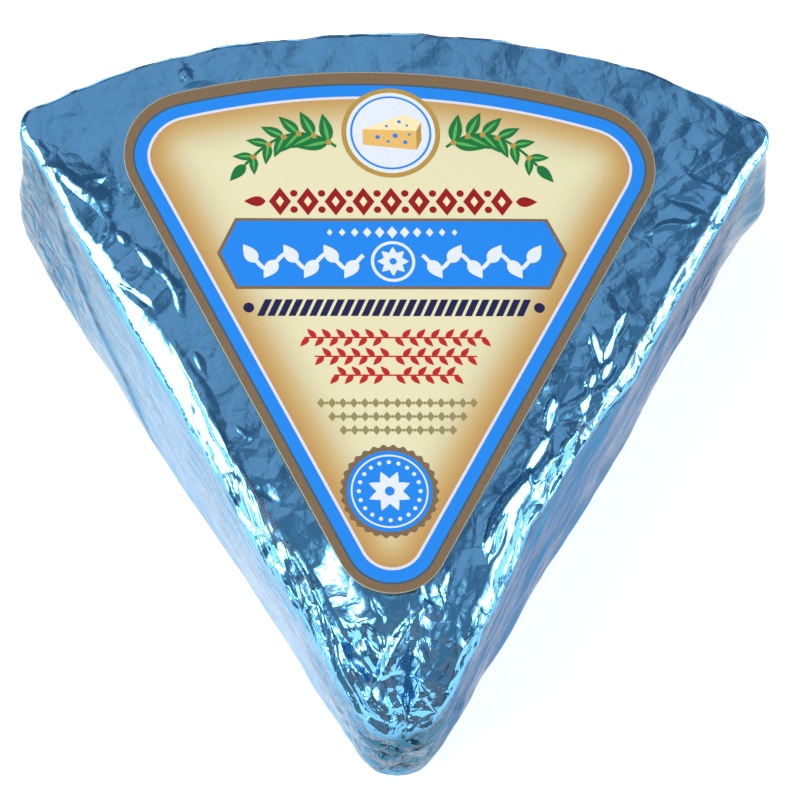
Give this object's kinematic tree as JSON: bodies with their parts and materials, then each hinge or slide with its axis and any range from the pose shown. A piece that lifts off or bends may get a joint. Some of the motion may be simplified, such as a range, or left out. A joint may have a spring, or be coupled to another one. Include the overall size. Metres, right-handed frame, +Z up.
{
  "type": "foil-wrapped gorgonzola wedge",
  "caption": "Wedge of gorgonzola shut in crumpled blue metal foil, lying flat, with a printed sector-shaped paper label on its top face.",
  "frame": {"origin": "centre of the bounding box at the underside, on the surface the pack lies on", "axes": "+Z up through the label, -Y towards the sharp tip, +Y towards the rind side, +X across the pack"},
  "size_m": [0.109, 0.1024, 0.0342],
  "materials": {
    "foil": "bright blue-tinted foil, crumpled, with sharp creases",
    "label_paper": "coated paper, satin, with metallic bronze and blue printed borders"
  },
  "bodies": {
    "root": {"foil_wedge": "foil", "label": "label_paper"}
  },
  "joints": []
}
